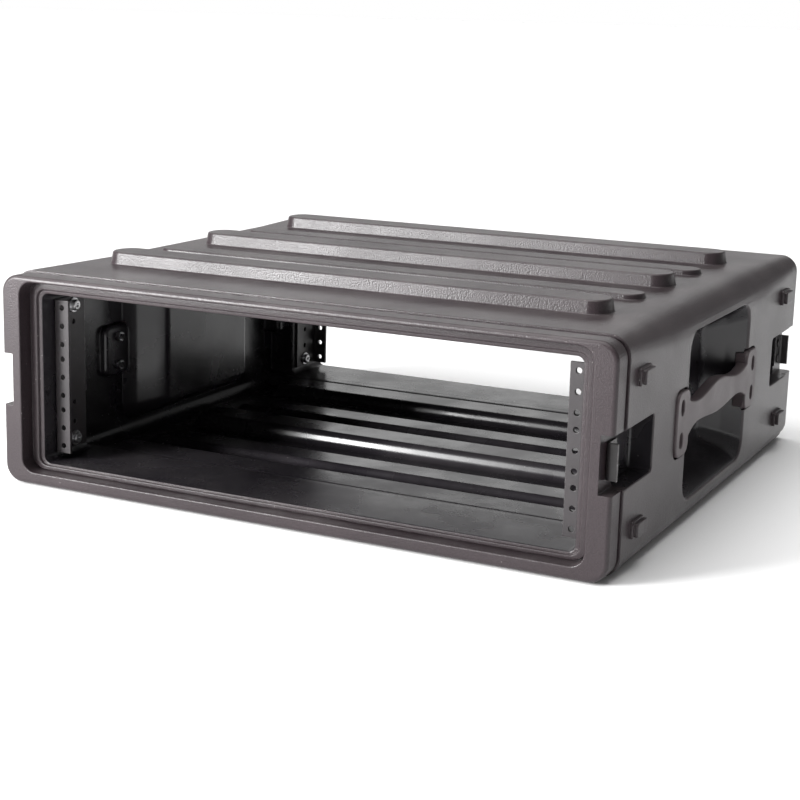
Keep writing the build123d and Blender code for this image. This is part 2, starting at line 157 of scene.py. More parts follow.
class HandleSizes(PropertyGroup):
    """Sizes of the carry handles."""

    plate_inner: length("Plate inner end", "Distance from the handle's middle to a plate", 0.085)
    plate_outer: length("Plate outer end", "Distance from the handle's middle to its end", 0.1165)
    plate_half_height: length("Plate half height", "Half the height of an end plate", 0.0265)
    plate_corner: length("Plate corner", "Corner radius of an end plate", 0.009)
    plate_thickness: length("Plate thickness", "Thickness of an end plate", 0.005)
    plate_gap: length("Plate gap", "Gap around an end plate in its seat", 0.0014)
    bar_depth: length("Bar depth", "Thickness of the grip bar", 0.010)
    crown_high: length("Crown top", "Height of the grip's upper edge at the middle", 0.0186)
    crown_low: length("Crown bottom", "Depth of the grip's lower edge at the middle", 0.0096)
    waist_high: length("Waist top", "Height of the upper edge at a waist", 0.0118)
    waist_low: length("Waist bottom", "Depth of the lower edge at a waist", 0.0062)
    end_high: length("End top", "Height of the upper edge at a plate", 0.0160)
    end_low: length("End bottom", "Depth of the lower edge at a plate", 0.0130)
    waist_place: length("Waist place", "Distance of a waist from the handle's middle", 0.058)
    screw_y: length("Screw place", "Distance of the screws from the handle's middle", 0.104)
    screw_level: length("Screw level", "Distance of the screws from the rack axis", 0.0133)
    sink_half_width: length("Sink half width", "Half the width of a sunk screw seat", 0.0044)
    sink_half_height: length("Sink half height", "Half the height of a sunk screw seat", 0.0066)
    sink_depth: length("Sink depth", "Depth of a sunk screw seat", 0.0042)


class FinishSettings(PropertyGroup):
    """Colours of the case's finishes."""

    case_colour: colour("Case plastic", "Colour of the moulded shell", (0.031, 0.0225, 0.0255))
    # Painted highlight: the worn colour lightens the shell's edges, partly as rubbed wear and partly as a
    # painted highlight along them.
    case_worn_and_highlight: colour("Worn plastic and edge highlight", "Colour of the shell's rubbed edges", (0.150, 0.125, 0.130))
    # Painted shade: the inside colour is the inner side's plastic made darker as shade, and it also lines the
    # handle pockets and latch wells.
    inside_and_shade_colour: colour("Inside plastic and shade", "Colour of the shell's smooth inside", (0.016, 0.014, 0.017))
    handle_colour: colour("Handle plastic", "Colour of the handles", (0.072, 0.055, 0.060))
    rail_colour: colour("Rail coat", "Colour of the rails' powder coat", (0.028, 0.024, 0.026))
    screw_colour: colour("Screw black", "Colour of the handle screws", (0.006, 0.005, 0.006))
    keeper_colour: colour("Keeper coat", "Colour of the latch keepers' coat", (0.028, 0.025, 0.026))
    steel_colour: colour("Bare steel", "Colour of steel where a coat has worn", (0.50, 0.49, 0.48))
    zinc_colour: colour("Zinc plate", "Colour of the plated fasteners", (0.62, 0.62, 0.63))
    brass_colour: colour("Brass", "Colour of the threaded inserts", (0.60, 0.42, 0.18))
    dust_colour: colour("Dust", "Colour of settled dust", (0.33, 0.31, 0.30))


class StudioSettings(PropertyGroup):
    """Camera and lights."""

    floor_size: length("Floor size", "Width of the pale floor", 80.0)
    floor_colour: colour("Floor colour", "Colour of the studio floor", (0.95, 0.95, 0.95))
    camera_distance: length("Camera distance", "Distance of the camera in front of the case's middle", 1.4019)
    camera_side: length("Camera side", "Distance of the camera to the right of the middle", 0.6536)
    camera_height: length("Camera height", "Height of the camera above the floor", 0.4098)
    camera_turn: FloatProperty(
        name="Camera turn", description="How far the camera looks to the left", default=math.radians(27.12),
        subtype="ANGLE",
    )
    camera_dip: FloatProperty(
        name="Camera dip", description="How far the camera looks down", default=math.radians(12.63),
        subtype="ANGLE",
    )
    camera_roll: FloatProperty(
        name="Camera roll", description="How far the camera leans", default=math.radians(1.27),
        subtype="ANGLE",
    )
    camera_lens: FloatProperty(
        name="Lens", description="Focal length of the camera in millimetres", default=77.85
    )
    key_power: FloatProperty(name="Key light", description="Power of the large left light", default=115.0)
    sky_power: FloatProperty(
        name="Overhead light", description="Strength of the wide light above", default=3.0
    )
    surround: FloatProperty(name="Surround", description="Strength of the surround on the case", default=0.22)


# A rounded rectangle across one axis: its place along the axis, its middle, half sizes and corner radii
Station = namedtuple("Station", "along middle half low_round high_round")

# A row of ribs: its place, height and widths on the roof, and the shape of its ridge inside
RibRow = namedtuple(
    "RibRow", "kind y height base crown top_round corner_share ridge_crown ridge_foot ridge_top"
)

TURNS = {
    "X": (math.pi / 2, 0.0, math.pi / 2),
    "Y": (math.pi / 2, 0.0, 0.0),
    "Z": (0.0, 0.0, 0.0),
}


def deselect():
    """Leave nothing selected."""
    bpy.ops.object.select_all(action="DESELECT")


def pick(piece):
    """Select one object and make it the active one."""
    deselect()
    piece.select_set(True)
    bpy.context.view_layer.objects.active = piece


def remove(piece):
    """Delete an object that has done its work."""
    pick(piece)
    bpy.ops.object.delete()


def placed(axis, along, middle):
    """Return the point at a place along an axis, with its other two coordinates in order."""
    u, v = middle
    return {"X": (along, u, v), "Y": (u, along, v), "Z": (u, v, along)}[axis]


def outline_points(axis, station, steps):
    """Return the points of a station's rounded rectangle, going round from its lower right corner."""
    (mid_u, mid_v), (u, v) = station.middle, station.half
    points = []
    for turn, (across, up) in enumerate(((1, -1), (1, 1), (-1, 1), (-1, -1))):
        radius = station.high_round if up > 0 else station.low_round
        for step in range(steps + 1):
            angle = math.pi / 2 * (turn - 1 + step / steps)
            place = (
                mid_u + across * (u - radius) + radius * math.cos(angle),
                mid_v + up * (v - radius) + radius * math.sin(angle),
            )
            points.append(placed(axis, station.along, place))
    return points


def move_outline(axis, station, steps):
    """Move the selected outline onto a station, point by point, in edit mode."""
    mesh = bmesh.from_edit_mesh(bpy.context.object.data)
    number = mesh.verts.layers.int["number"]
    points = outline_points(axis, station, steps)
    for point in mesh.verts:
        if point.select:
            point.co = points[point[number]]
    bmesh.update_edit_mesh(bpy.context.object.data)


def stack(name, axis, stations, ring=False, segments=6):
    """Model a closed piece by extruding an outline from station to station, as a bar or as a closed ring."""
    deselect()
    bpy.ops.mesh.primitive_circle_add(
        vertices=4 * (segments + 1), radius=stations[0].half[0], fill_type="NOTHING" if ring else "NGON",
        location=placed(axis, stations[0].along, stations[0].middle), rotation=TURNS[axis],
    )
    piece = bpy.context.object
    piece.name = name
    piece.data.name = name
    bpy.ops.object.transform_apply(location=True, rotation=True, scale=True)
    bpy.ops.object.mode_set(mode="EDIT")
    bpy.ops.mesh.select_mode(type="EDGE" if ring else "FACE")
    bpy.ops.mesh.select_all(action="SELECT")
    mesh = bmesh.from_edit_mesh(piece.data)
    number = mesh.verts.layers.int.new("number")
    for place, point in enumerate(mesh.verts):
        point[number] = place
    move_outline(axis, stations[0], segments)
    for station in stations[1:]:
        if ring:
            bpy.ops.mesh.extrude_edges_move()
        else:
            bpy.ops.mesh.extrude_region_move()
        move_outline(axis, station, segments)
    if ring:
        mesh = bmesh.from_edit_mesh(piece.data)
        for edge in mesh.edges:
            edge.select_set(edge.is_boundary)
        bmesh.update_edit_mesh(piece.data)
        bpy.ops.mesh.bridge_edge_loops()
    mesh = bmesh.from_edit_mesh(piece.data)
    mesh.verts.layers.int.remove(mesh.verts.layers.int["number"])
    bmesh.update_edit_mesh(piece.data)
    bpy.ops.mesh.select_mode(type="VERT")
    bpy.ops.mesh.select_all(action="SELECT")
    bpy.ops.mesh.normals_make_consistent(inside=False)
    bpy.ops.object.mode_set(mode="OBJECT")
    return piece


def mirrored(piece, across_x=True, across_y=False):
    """Add mirror copies of a piece across the case's middle planes."""
    pick(piece)
    bpy.ops.object.modifier_add(type="MIRROR")
    modifier = piece.modifiers[-1]
    modifier.use_axis = (across_x, across_y, False)
    modifier.use_mirror_merge = False
    bpy.ops.object.modifier_apply(modifier=modifier.name)
    return piece


def joined(pieces):
    """Join separate pieces into the first one's mesh."""
    pick(pieces[0])
    for piece in pieces[1:]:
        piece.select_set(True)
    bpy.ops.object.join()
    return pieces[0]


def combine(body, tool, operation):
    """Add a tool's solid to a body, or cut it away, and delete the tool."""
    pick(body)
    bpy.ops.object.modifier_add(type="BOOLEAN")
    modifier = body.modifiers[-1]
    modifier.operation = operation
    modifier.solver = "EXACT"
    modifier.object = tool
    bpy.ops.object.modifier_apply(modifier=modifier.name)
    remove(tool)


def smooth(piece, angle):
    """Merge doubled points, then shade a finished piece with its flat faces kept flat."""
    pick(piece)
    bpy.ops.object.mode_set(mode="EDIT")
    bpy.ops.mesh.select_all(action="SELECT")
    bpy.ops.mesh.remove_doubles(threshold=0.000004)
    bpy.ops.object.mode_set(mode="OBJECT")
    bpy.ops.object.shade_smooth_by_angle(angle=angle)
    bpy.ops.object.modifier_add(type="WEIGHTED_NORMAL")
    modifier = piece.modifiers[-1]
    modifier.keep_sharp = True
    modifier.weight = 90
    bpy.ops.object.modifier_apply(modifier=modifier.name)


def convex(radius, steps):
    """Give the drop and the shrink of an edge that rounds over, from the side to the top."""
    turns = [math.pi / 2 * n / steps for n in range(steps + 1)]
    return [(radius * (1 - math.sin(t)), radius * (1 - math.cos(t))) for t in turns]


def concave(radius, steps):
    """Give the rise and the spread of a fillet that runs out onto a surface, from the surface up."""
    turns = [math.pi / 2 * n / steps for n in range(steps + 1)]
    return [(radius * (1 - math.cos(t)), radius * (1 - math.sin(t))) for t in turns]


def end_stations(sizes):
    """List the outlines of one end of the shell, from its middle out to the face and in to the room.
    Each is a distance behind the face, half a width, a low and a high edge and two corner radii."""
    body_half = shell_high.x - sizes.bump_reach
    roof = shell_high.z - sizes.rib_height
    edge = 0.0008
    sunk = sizes.rim_inset + sizes.groove_depth
    groove_end = sizes.rim_depth + sizes.groove_width
    found = []

    def body(depth, inset, high_round):
        found.append(
            (depth, body_half - inset, inset, roof - inset, sizes.bottom_round - inset, high_round - inset)
        )

    def ring(depth, share, grow=0.0):
        half = shell_part(sizes.ring_half_width, rail_high.x, share)
        low = shell_part(sizes.ring_bottom, sizes.throat_bottom, share)
        high = shell_part(sizes.ring_top, sizes.throat_top, share)
        corner = shell_part(sizes.ring_corner, sizes.throat_corner, share)
        found.append((depth, half + grow, low - grow, high + grow, corner + grow, corner + grow))

    # Body and its taper, and the groove behind the rim
    body(groove_end + sizes.taper, 0, sizes.top_round)
    for drop, inset in convex(edge, 2):
        body(groove_end + drop, inset, sizes.rim_edge)
    body(groove_end, sunk - 0.0003, sizes.rim_edge)
    body(groove_end - 0.0003, sunk, sizes.rim_edge)
    body(sizes.rim_depth + 0.0003, sunk, sizes.rim_edge)
    body(sizes.rim_depth, sunk - 0.0003, sizes.rim_edge)
    for fall, inset in concave(edge, 2):
        body(sizes.rim_depth - fall, sizes.rim_inset + inset, sizes.rim_edge)
    # Rim rounded over to the face, and the rounded edge of the ring step
    for depth, inset in convex(sizes.rim_round, 6):
        body(depth, sizes.rim_inset + inset, sizes.rim_edge)
    for depth, grow in concave(0.0012, 4):
        ring(depth, 0, grow)
    # Step with its sealing tongue
    floor = sizes.ring_depth
    rise = sizes.tongue_height
    ring(floor - 0.0006, 0)
    ring(floor - 0.0002, 0, -0.0002)
    ring(floor, 0, -0.0006)
    for depth, share in (
        (floor, 0.12), (floor - 0.6 * rise, 0.15), (floor - 0.9 * rise, 0.19), (floor - rise, 0.25),
        (floor - rise, 0.58), (floor - 0.9 * rise, 0.64), (floor - 0.6 * rise, 0.68), (floor, 0.72),
        (floor, 0.88),
    ):
        ring(depth, share)
    ring(floor + 0.0004, 0.96)
    ring(floor + 0.0015, 1)
    return found


def shell_part(near, far, share):
    """Return the size at a share of the way from near to far."""
    return near + (far - near) * share


def room_stations(sizes):
    """List the outlines from the throat out to the room's walls, as distances from the case's middle."""
    half = shell_high.x - sizes.bump_reach - sizes.wall
    low, high = sizes.throat_bottom, sizes.throat_top
    roof = shell_high.z - sizes.rib_height - sizes.wall
    side_y, room_y = sizes.side_room_end, sizes.room_end
    corner, low_round, high_round = sizes.throat_corner, sizes.room_bottom_round, sizes.room_top_round
    lip, hair, throat = 0.003, 0.00005, rail_high.x
    return [
        (side_y + lip, throat, low, high, corner, corner),
        (side_y + 0.3 * lip, throat + 0.3 * lip, low, high, corner, corner),
        (side_y, throat + lip, low, high, corner, corner),
        (side_y, half - lip, low - hair, high + hair, corner, corner),
        (side_y - 0.3 * lip, half - 0.3 * lip - hair, low - hair, high + hair, corner, corner),
        (side_y - lip, half - hair, low - hair, high + hair, corner, corner),
        (room_y + lip, half - hair, low - hair, high + hair, corner, corner),
        (room_y + 0.3 * lip, half - hair, low - 0.3 * lip, high + 0.3 * lip, corner, corner),
        (room_y, half - hair, low - lip, high + lip, 0.8 * low_round, low_round),
        (room_y, half, sizes.wall + lip, roof - lip, 0.9 * low_round, 0.9 * high_round),
        (room_y - 0.3 * lip, half, sizes.wall + 0.3 * lip, roof - 0.3 * lip, low_round, high_round),
        (room_y - lip, half, sizes.wall, roof, low_round, high_round),
    ]


def end_outline(place, half, low, high, low_round, high_round):
    """Turn one listed outline into a station across the case's length."""
    return Station(place, (0.0, (low + high) / 2), (half, (high - low) / 2), low_round, high_round)


def shell_body(sizes):
    """Model the shell as one closed ring of outlines: outside, both rims, both throats and the room."""
    half_depth = shell_high.y
    outside = [end_outline(-half_depth + depth, *rest) for depth, *rest in end_stations(sizes)]
    inside = [end_outline(-place, *rest) for place, *rest in room_stations(sizes)]
    front = outside + inside
    rear = [station._replace(along=-station.along) for station in reversed(front)]
    return stack("shell", "Y", front + rear, ring=True, segments=8)


def rib_rows(sizes):
    """List the rows of roof ribs, with what each raises as a ridge inside."""
    pitch = sizes.rib_pitch
    tall = [
        RibRow("tall", y, sizes.rib_height, sizes.rib_base, sizes.rib_crown, 0.0016, 0.86, sizes.ridge_crown,
               0.005, 0.005)
        for y in (-pitch, 0.0, pitch)
    ]
    low = [
        RibRow("low", y, sizes.low_rib_height, sizes.low_rib_base, sizes.low_rib_crown, 0.0012, 0.97,
               sizes.low_ridge_crown, 0.003, 0.0035)
        for y in (-pitch / 2, pitch / 2)
    ]
    return tall + low


def rib(name, y, base_z, height, half_span, base, crown, foot_round, top_round, corner_share):
    """Model one drafted rib that rises from base_z, with a fillet at its foot and a rounded top."""
    slope = (base - crown) / 2 / height

    def at(z, spread):
        drawn_in = slope * max(0.0, z - base_z)
        u, v = half_span - drawn_in + spread, base / 2 - drawn_in + spread
        return Station(z, (0.0, y), (u, v), corner_share * v, corner_share * v)

    stations = [at(base_z - 0.002, foot_round)]
    stations += [at(base_z + CLEAR + rise, spread) for rise, spread in concave(foot_round, 4)]
    top = base_z + height
    stations += [at(top - drop, -shrink) for drop, shrink in convex(top_round, 4)]
    return stack(name, "Z", stations, segments=8)


def groove(name, y, depth, half_span, base, crown):
    """Model the cutter for one groove under the floor, with an eased mouth and a rounded roof."""
    slope = (base - crown) / 2 / depth
    mouth, corner_share = 0.001, 0.68

    def at(z, spread):
        drawn_in = slope * max(0.0, z)
        u, v = half_span - drawn_in + spread, base / 2 - drawn_in + spread
        return Station(z, (0.0, y), (u, v), corner_share * v, corner_share * v)

    stations = [at(-0.003, mouth), at(CLEAR, mouth), at(mouth, 0.0)]
    stations += [at(depth - drop, -shrink) for drop, shrink in convex(0.002, 3)]
    return stack(name, "Z", stations, segments=5)


def side_pocket(name, face, recess, grow, deeper, mouth_round, floor_round):
    """Model a handle pocket's two tapering stages on the right side, grown by a wall where asked."""
    half = Vector((recess.pocket_half_length + grow, recess.pocket_half_height + grow))
    middle = half - Vector((recess.pocket_mouth_draft, recess.pocket_height_draft))
    inner = middle - Vector((recess.pocket_floor_draft, recess.pocket_height_draft))
    shoulder, floor = recess.pocket_mid_x, recess.pocket_floor_x
    corner, tighter, bend = recess.pocket_corner, 0.003, 0.0015

    def at(x, spread):
        if x > shoulder:
            share = min(1.0, (face - x) / (face - shoulder))
            size, radius = half.lerp(middle, share), corner - tighter * share
        else:
            share = min(1.0, (shoulder - x) / (shoulder - floor))
            size, radius = middle.lerp(inner, share), corner - tighter - tighter * share
        return Station(
            x, (0.0, rack_axis_z), (size.x + spread, size.y + spread), radius + spread, radius + spread
        )

    if mouth_round:
        stations = [at(face + 0.004, mouth_round)]
        stations += [at(face - CLEAR - rise, spread) for rise, spread in concave(mouth_round, 5)]
    else:
        stations = [at(face - 0.002, 0.0)]
    stations += [at(shoulder + bend, 0.0), at(shoulder, -0.0003), at(shoulder - bend, 0.0)]
    end = floor - deeper
    stations += [at(end + drop, -shrink) for drop, shrink in convex(floor_round, 4)]
    return stack(name, "X", stations, segments=8)


def side_block(name, face, floor, middle, half, corner, flare, floor_round):
    """Model a plain recess or boss across the right side, from its face to its floor."""
    towards = 1 if floor > face else -1

    def at(x, spread):
        return Station(
            x, middle, (half[0] + spread, half[1] + spread), corner + spread, corner + spread
        )

    stations = [at(face - towards * 0.003, flare)]
    if flare:
        stations += [at(face + towards * (CLEAR + rise), spread) for rise, spread in concave(flare, 3)]
    stations += [at(floor - towards * drop, -shrink) for drop, shrink in convex(floor_round, 3)]
    return stack(name, "X", stations, segments=4)


def roof_ribs(sizes, roof):
    """Model the five stacking ribs on the roof."""
    return [
        rib(f"{row.kind}_rib", row.y, roof, row.height, sizes.rib_half_span, row.base, row.crown, 0.0008,
            row.top_round, row.corner_share)
        for row in rib_rows(sizes)
    ]


def floor_ridges(sizes):
    """Model the ridges that the grooves under the floor raise inside the room."""
    wall, play = sizes.wall, sizes.groove_play
    return [
        rib(f"{row.kind}_ridge", row.y, wall, row.height + play, sizes.rib_half_span + wall + play,
            row.base + 2 * wall, row.ridge_crown, row.ridge_foot, row.ridge_top, 0.5)
        for row in rib_rows(sizes)
    ]


def floor_grooves(sizes):
    """Model the cutters for the five grooves that take the ribs of a case below."""
    play = sizes.groove_play
    return [
        groove(f"{row.kind}_groove", row.y, row.height + play, sizes.rib_half_span + play,
               row.base + 2 * play, row.ridge_crown - 2 * sizes.wall + play)
        for row in rib_rows(sizes)
    ]


def insert_bumps(sizes, recess, face):
    """Model the square bumps over the rail inserts: the plinths first, then the blocks on them."""
    steps = ((recess.plinth_height, 0.0, 0.003), (sizes.bump_reach, recess.bump_step, 0.0022))
    rows = []
    for reach, drawn_in, corner in steps:
        row = [
            side_block(
                "bump", face, face + reach, (recess.bump_y, rack_axis_z + level),
                (recess.bump_length / 2 - 1.4 * drawn_in, recess.bump_height / 2 - drawn_in),
                corner, 0.0, 0.0011,
            )
            for level in (-recess.bump_level, recess.bump_level)
        ]
        rows.append([mirrored(piece, True, True) for piece in row])
    return rows


def recess_backs(sizes, recess, face):
    """Model the backs of the latch wells and handle pockets, which stand into the room."""
    well_back = side_block(
        "well_back", face - sizes.wall, recess.well_floor_x - sizes.wall,
        (recess.well_near_y + sizes.wall, rack_axis_z), (0.010, recess.latch_half_height + sizes.wall),
        0.005, 0.003, 0.005,
    )
    pocket_back = side_pocket("pocket_back", face, recess, sizes.wall, sizes.wall, 0.0, 0.010)
    return [mirrored(well_back, True, True), mirrored(pocket_back)]


def screw_pads(sizes, recess, grip, face):
    """Model the raised pads inside that the handles' nuts sit on."""
    pads = [
        side_block(
            "pad", face - sizes.wall, recess.pad_x, (handle_middle_y + end * grip.screw_y, rack_axis_z),
            (recess.pad_half_length, recess.pad_half_height), 0.008, 0.0, 0.004,
        )
        for end in (-1, 1)
    ]
    return mirrored(joined(pads))


def side_recesses(recess, face):
    """Model the cutters for the handle pockets and latch wells."""
    pocket = mirrored(side_pocket("pocket", face, recess, 0.0, 0.0, 0.0025, 0.005))
    well = side_block(
        "well", face, recess.well_floor_x,
        ((recess.well_near_y + recess.well_far_y) / 2, rack_axis_z),
        ((recess.well_far_y - recess.well_near_y) / 2, recess.latch_half_height), 0.004, 0.001, 0.002,
    )
    return joined([pocket, mirrored(well, True, True)])


def plate_middle(grip, end):
    """Return the middle of the handle's plate at one end."""
    return (handle_middle_y + end * (grip.plate_inner + grip.plate_outer) / 2, rack_axis_z)


def notches_and_seats(recess, grip, face):
    """Model the cutters for the latch notches, the handles' seats and the rail inserts' holes."""
    notch = side_block(
        "notch", face, keeper_low.x, (shell_high.y, rack_axis_z),
        (recess.notch_reach, recess.latch_half_height), 0.0015, 0.0012, 0.0008,
    )
    half_length = (grip.plate_outer - grip.plate_inner) / 2
    seats = [
        side_block(
            "seat", face, handle_high.x - grip.plate_thickness, plate_middle(grip, end),
            (half_length + grip.plate_gap, grip.plate_half_height + grip.plate_gap),
            grip.plate_corner, 0.0006, 0.0004,
        )
        for end in (-1, 1)
    ]
    insert_holes = []
    for level in (-recess.insert_level, recess.insert_level):
        deselect()
        bpy.ops.mesh.primitive_cylinder_add(
            vertices=32, radius=recess.insert_radius, depth=0.008,
            location=(rail_high.x + 0.001, recess.insert_y, rack_axis_z + level),
            rotation=(0, math.pi / 2, 0),
        )
        bpy.ops.object.transform_apply(location=True, rotation=True, scale=True)
        insert_holes.append(bpy.context.object)
    holes = [mirrored(piece, True, True) for piece in [notch] + insert_holes]
    return joined(holes + [mirrored(joined(seats))])


def add_group(name, inputs, outputs):
    """Start a shared node group with named sockets, given as name, kind and default."""
    group = bpy.data.node_groups.new(name, "ShaderNodeTree")
    for label, kind, default in inputs:
        socket = group.interface.new_socket(name=label, in_out="INPUT", socket_type=kind)
        if default is not None:
            socket.default_value = default
    for label, kind in outputs:
        group.interface.new_socket(name=label, in_out="OUTPUT", socket_type=kind)
    return group, group.nodes.new("NodeGroupInput"), group.nodes.new("NodeGroupOutput")


def node(tree, kind, **values):
    """Add a node and set its properties and its unlinked inputs by name."""
    made = tree.nodes.new(kind)
    for name, value in values.items():
        if hasattr(made, name):
            setattr(made, name, value)
        else:
            made.inputs[name.replace("_", " ")].default_value = value
    return made


def calculate(tree, operation, first, second=None, third=None, clamp=False):
    """Add a Math node on sockets or numbers and return its output."""
    made = tree.nodes.new("ShaderNodeMath")
    made.operation = operation
    made.use_clamp = clamp
    for slot, value in enumerate((first, second, third)):
        if value is None:
            continue
        if isinstance(value, (int, float)):
            made.inputs[slot].default_value = value
        else:
            tree.links.new(value, made.inputs[slot])
    return made.outputs[0]


def mix_colours(tree, share, near, far):
    """Mix two colours, each a socket or a colour, and return the result."""
    made = tree.nodes.new("ShaderNodeMix")
    made.data_type = "RGBA"
    tree.links.new(share, made.inputs["Factor"])
    for socket, value in ((made.inputs[6], near), (made.inputs[7], far)):
        if hasattr(value, "is_output"):
            tree.links.new(value, socket)
        else:
            socket.default_value = (*value, 1)
    return made.outputs[2]


def texture(tree, kind, **values):
    """Add a texture that lies on the piece's own coordinates."""
    made = node(tree, f"ShaderNodeTex{kind}", **values)
    place = tree.nodes.new("ShaderNodeTexCoord").outputs["Object"]
    tree.links.new(place, made.inputs["Vector"])
    return made


def map_range(tree, value, low, high, to_low=0.0, to_high=1.0):
    """Remap a value between limits and return the result."""
    made = tree.nodes.new("ShaderNodeMapRange")
    made.interpolation_type = "SMOOTHSTEP"
    tree.links.new(value, made.inputs["Value"])
    for label, number in (("From Min", low), ("From Max", high), ("To Min", to_low), ("To Max", to_high)):
        made.inputs[label].default_value = number
    return made.outputs["Result"]


def pebble_grain():
    """Shared grain: rounded pebbles of one size with a finer tooth on them."""
    found = bpy.data.node_groups.get("Pebble Grain")
    if found:
        return found
    group, given, result = add_group(
        "Pebble Grain",
        [("Pebbles per Metre", "NodeSocketFloat", 700.0), ("Tooth", "NodeSocketFloat", 0.3)],
        [("Height", "NodeSocketFloat"), ("Hollows", "NodeSocketFloat")],
    )
    pebbles = texture(group, "Voronoi", feature="SMOOTH_F1", Smoothness=0.35, Randomness=1.0)
    tooth = texture(group, "Noise", Detail=3.0, Roughness=0.6)
    group.links.new(given.outputs["Pebbles per Metre"], pebbles.inputs["Scale"])
    group.links.new(
        calculate(group, "MULTIPLY", given.outputs["Pebbles per Metre"], 2.3), tooth.inputs["Scale"]
    )
    rounded = calculate(group, "SUBTRACT", 1.0, pebbles.outputs["Distance"])
    fine = calculate(group, "MULTIPLY", tooth.outputs["Fac"], given.outputs["Tooth"])
    group.links.new(calculate(group, "ADD", rounded, fine), result.inputs["Height"])
    group.links.new(map_range(group, pebbles.outputs["Distance"], 0.35, 0.75), result.inputs["Hollows"])
    return group


def edge_wear():
    """Shared edge wear: a broken mask along outer edges, and a normal rounded over them."""
    found = bpy.data.node_groups.get("Edge Wear")
    if found:
        return found
    group, given, result = add_group(
        "Edge Wear",
        [
            ("Radius", "NodeSocketFloat", 0.001), ("Amount", "NodeSocketFloat", 0.5),
            ("Breaks per Metre", "NodeSocketFloat", 90.0),
        ],
        [("Mask", "NodeSocketFloat"), ("Normal", "NodeSocketVector")],
    )
    bevel = node(group, "ShaderNodeBevel", samples=6)
    group.links.new(given.outputs["Radius"], bevel.inputs["Radius"])
    surface = group.nodes.new("ShaderNodeNewGeometry")
    facing = group.nodes.new("ShaderNodeVectorMath")
    facing.operation = "DOT_PRODUCT"
    group.links.new(bevel.outputs["Normal"], facing.inputs[0])
    group.links.new(surface.outputs["Normal"], facing.inputs[1])
    edge = map_range(group, facing.outputs["Value"], 0.995, 0.80)
    breaks = texture(group, "Noise", Detail=4.0, Roughness=0.62)
    group.links.new(given.outputs["Breaks per Metre"], breaks.inputs["Scale"])
    broken = map_range(group, breaks.outputs["Fac"], 0.42, 0.66)
    mask = calculate(group, "MULTIPLY", calculate(group, "MULTIPLY", edge, broken), given.outputs["Amount"])
    group.links.new(mask, result.inputs["Mask"])
    group.links.new(bevel.outputs["Normal"], result.inputs["Normal"])
    return group


def settled_dust():
    """Shared dust: a thin broken film on surfaces that face up, with small bright specks."""
    found = bpy.data.node_groups.get("Settled Dust")
    if found:
        return found
    group, given, result = add_group(
        "Settled Dust",
        [("Film", "NodeSocketFloat", 0.1), ("Specks", "NodeSocketFloat", 0.5)],
        [("Mask", "NodeSocketFloat")],
    )
    surface = group.nodes.new("ShaderNodeNewGeometry")
    parts = group.nodes.new("ShaderNodeSeparateXYZ")
    group.links.new(surface.outputs["Normal"], parts.inputs[0])
    upward = map_range(group, parts.outputs["Z"], 0.2, 0.95)
    clouds = texture(group, "Noise", Scale=14.0, Detail=5.0, Roughness=0.65)
    spots = texture(group, "Voronoi", Scale=170.0, Randomness=1.0)
    film = calculate(group, "MULTIPLY", map_range(group, clouds.outputs["Fac"], 0.35, 0.75), upward)
    film = calculate(group, "MULTIPLY", film, given.outputs["Film"])
    speck = map_range(group, spots.outputs["Distance"], 0.10, 0.05)
    speck = calculate(group, "MULTIPLY", speck, given.outputs["Specks"])
    sparse = calculate(group, "GREATER_THAN", clouds.outputs["Fac"], 0.54)
    speck = calculate(group, "MULTIPLY", speck, sparse)
    group.links.new(calculate(group, "MAXIMUM", film, speck, clamp=True), result.inputs["Mask"])
    return group


def use_group(tree, group, **values):
    """Place a shared group in a material with its own values."""
    made = tree.nodes.new("ShaderNodeGroup")
    made.node_tree = group
    for name, value in values.items():
        made.inputs[name.replace("_", " ")].default_value = value
    return made


def cloudy(tree, scale, low, high):
    """Return a slow noise on the piece, remapped between two values."""
    noise = texture(tree, "Noise", Scale=scale, Detail=4.0, Roughness=0.55)
    return map_range(tree, noise.outputs["Fac"], 0.3, 0.7, low, high)


def start_material(name):
    """Return a new material, its node tree and its shader."""
    material = bpy.data.materials.new(name)
    material.use_nodes = True
    return material, material.node_tree, material.node_tree.nodes["Principled BSDF"]


def scaled(colour, factor):
    """Return a colour made lighter or darker."""
    return tuple(min(1.0, part * factor) for part in colour)


def mottled(tree, base, scale, darkest, lightest):
    """Return a colour that drifts slowly between a darker and a lighter share of itself."""
    return mix_colours(tree, cloudy(tree, scale, 0.0, 1.0), scaled(base, darkest), scaled(base, lightest))


def finish_colour(tree, shader, tone, wear, worn, dust, dusty):
    """Lay the rubbed edges and then the dust over a tone, and feed it into the shader."""
    tone = mix_colours(tree, wear.outputs["Mask"], tone, worn)
    tone = mix_colours(tree, dust.outputs["Mask"], tone, dusty)
    tree.links.new(tone, shader.inputs["Base Color"])


def finish_surface(tree, shader, wear, height, strength, distance):
    """Feed a grain height over the edge-rounded normal into the shader."""
    bump = node(tree, "ShaderNodeBump", Strength=strength, Distance=distance)
    tree.links.new(height, bump.inputs["Height"])
    tree.links.new(wear.outputs["Normal"], bump.inputs["Normal"])
    tree.links.new(bump.outputs["Normal"], shader.inputs["Normal"])


